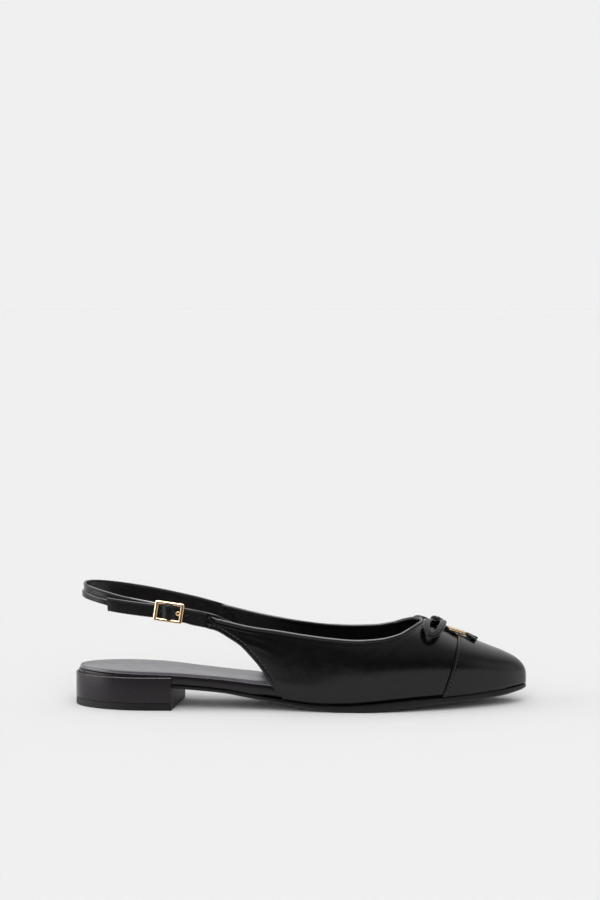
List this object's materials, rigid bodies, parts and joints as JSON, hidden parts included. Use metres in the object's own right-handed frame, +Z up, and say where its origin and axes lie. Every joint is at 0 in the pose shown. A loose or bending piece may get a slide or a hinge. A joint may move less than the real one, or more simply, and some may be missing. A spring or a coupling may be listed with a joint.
{
  "type": "slingback shoe",
  "caption": "Black leather cap-toe slingback flat for the right foot, with a low block heel, a bow at the throat and a buckled strap round the heel.",
  "frame": {"origin": "centre of the bounding box in plan, on the floor plane under heel and forefoot", "axes": "+X from heel to toe, +Y to the inner side of the right foot, +Z up"},
  "size_m": [0.256, 0.0752, 0.0694],
  "materials": {
    "calf": "polished black calf",
    "heel": "polished black leather cover",
    "sock": "satin dark grey lining leather",
    "sole": "black edged sole leather",
    "lift": "matt black rubber",
    "gold": "polished pale gold"
  },
  "bodies": {
    "root": {"outsole": "sole", "heel_block": "heel", "heel_lift": "lift", "insole_board": "calf", "insole_sock": "sock", "upper": "calf", "toe_cap": "calf", "topline_binding": "calf", "sling_strap": "calf", "buckle_strap": "calf", "buckle_frame": "gold", "buckle_prong": "gold", "bow_knot": "calf", "bow_loop_lateral": "calf", "bow_loop_medial": "calf", "bow_tail_lateral": "calf", "bow_tail_medial": "calf", "bow_sleeve": "gold"}
  },
  "joints": []
}
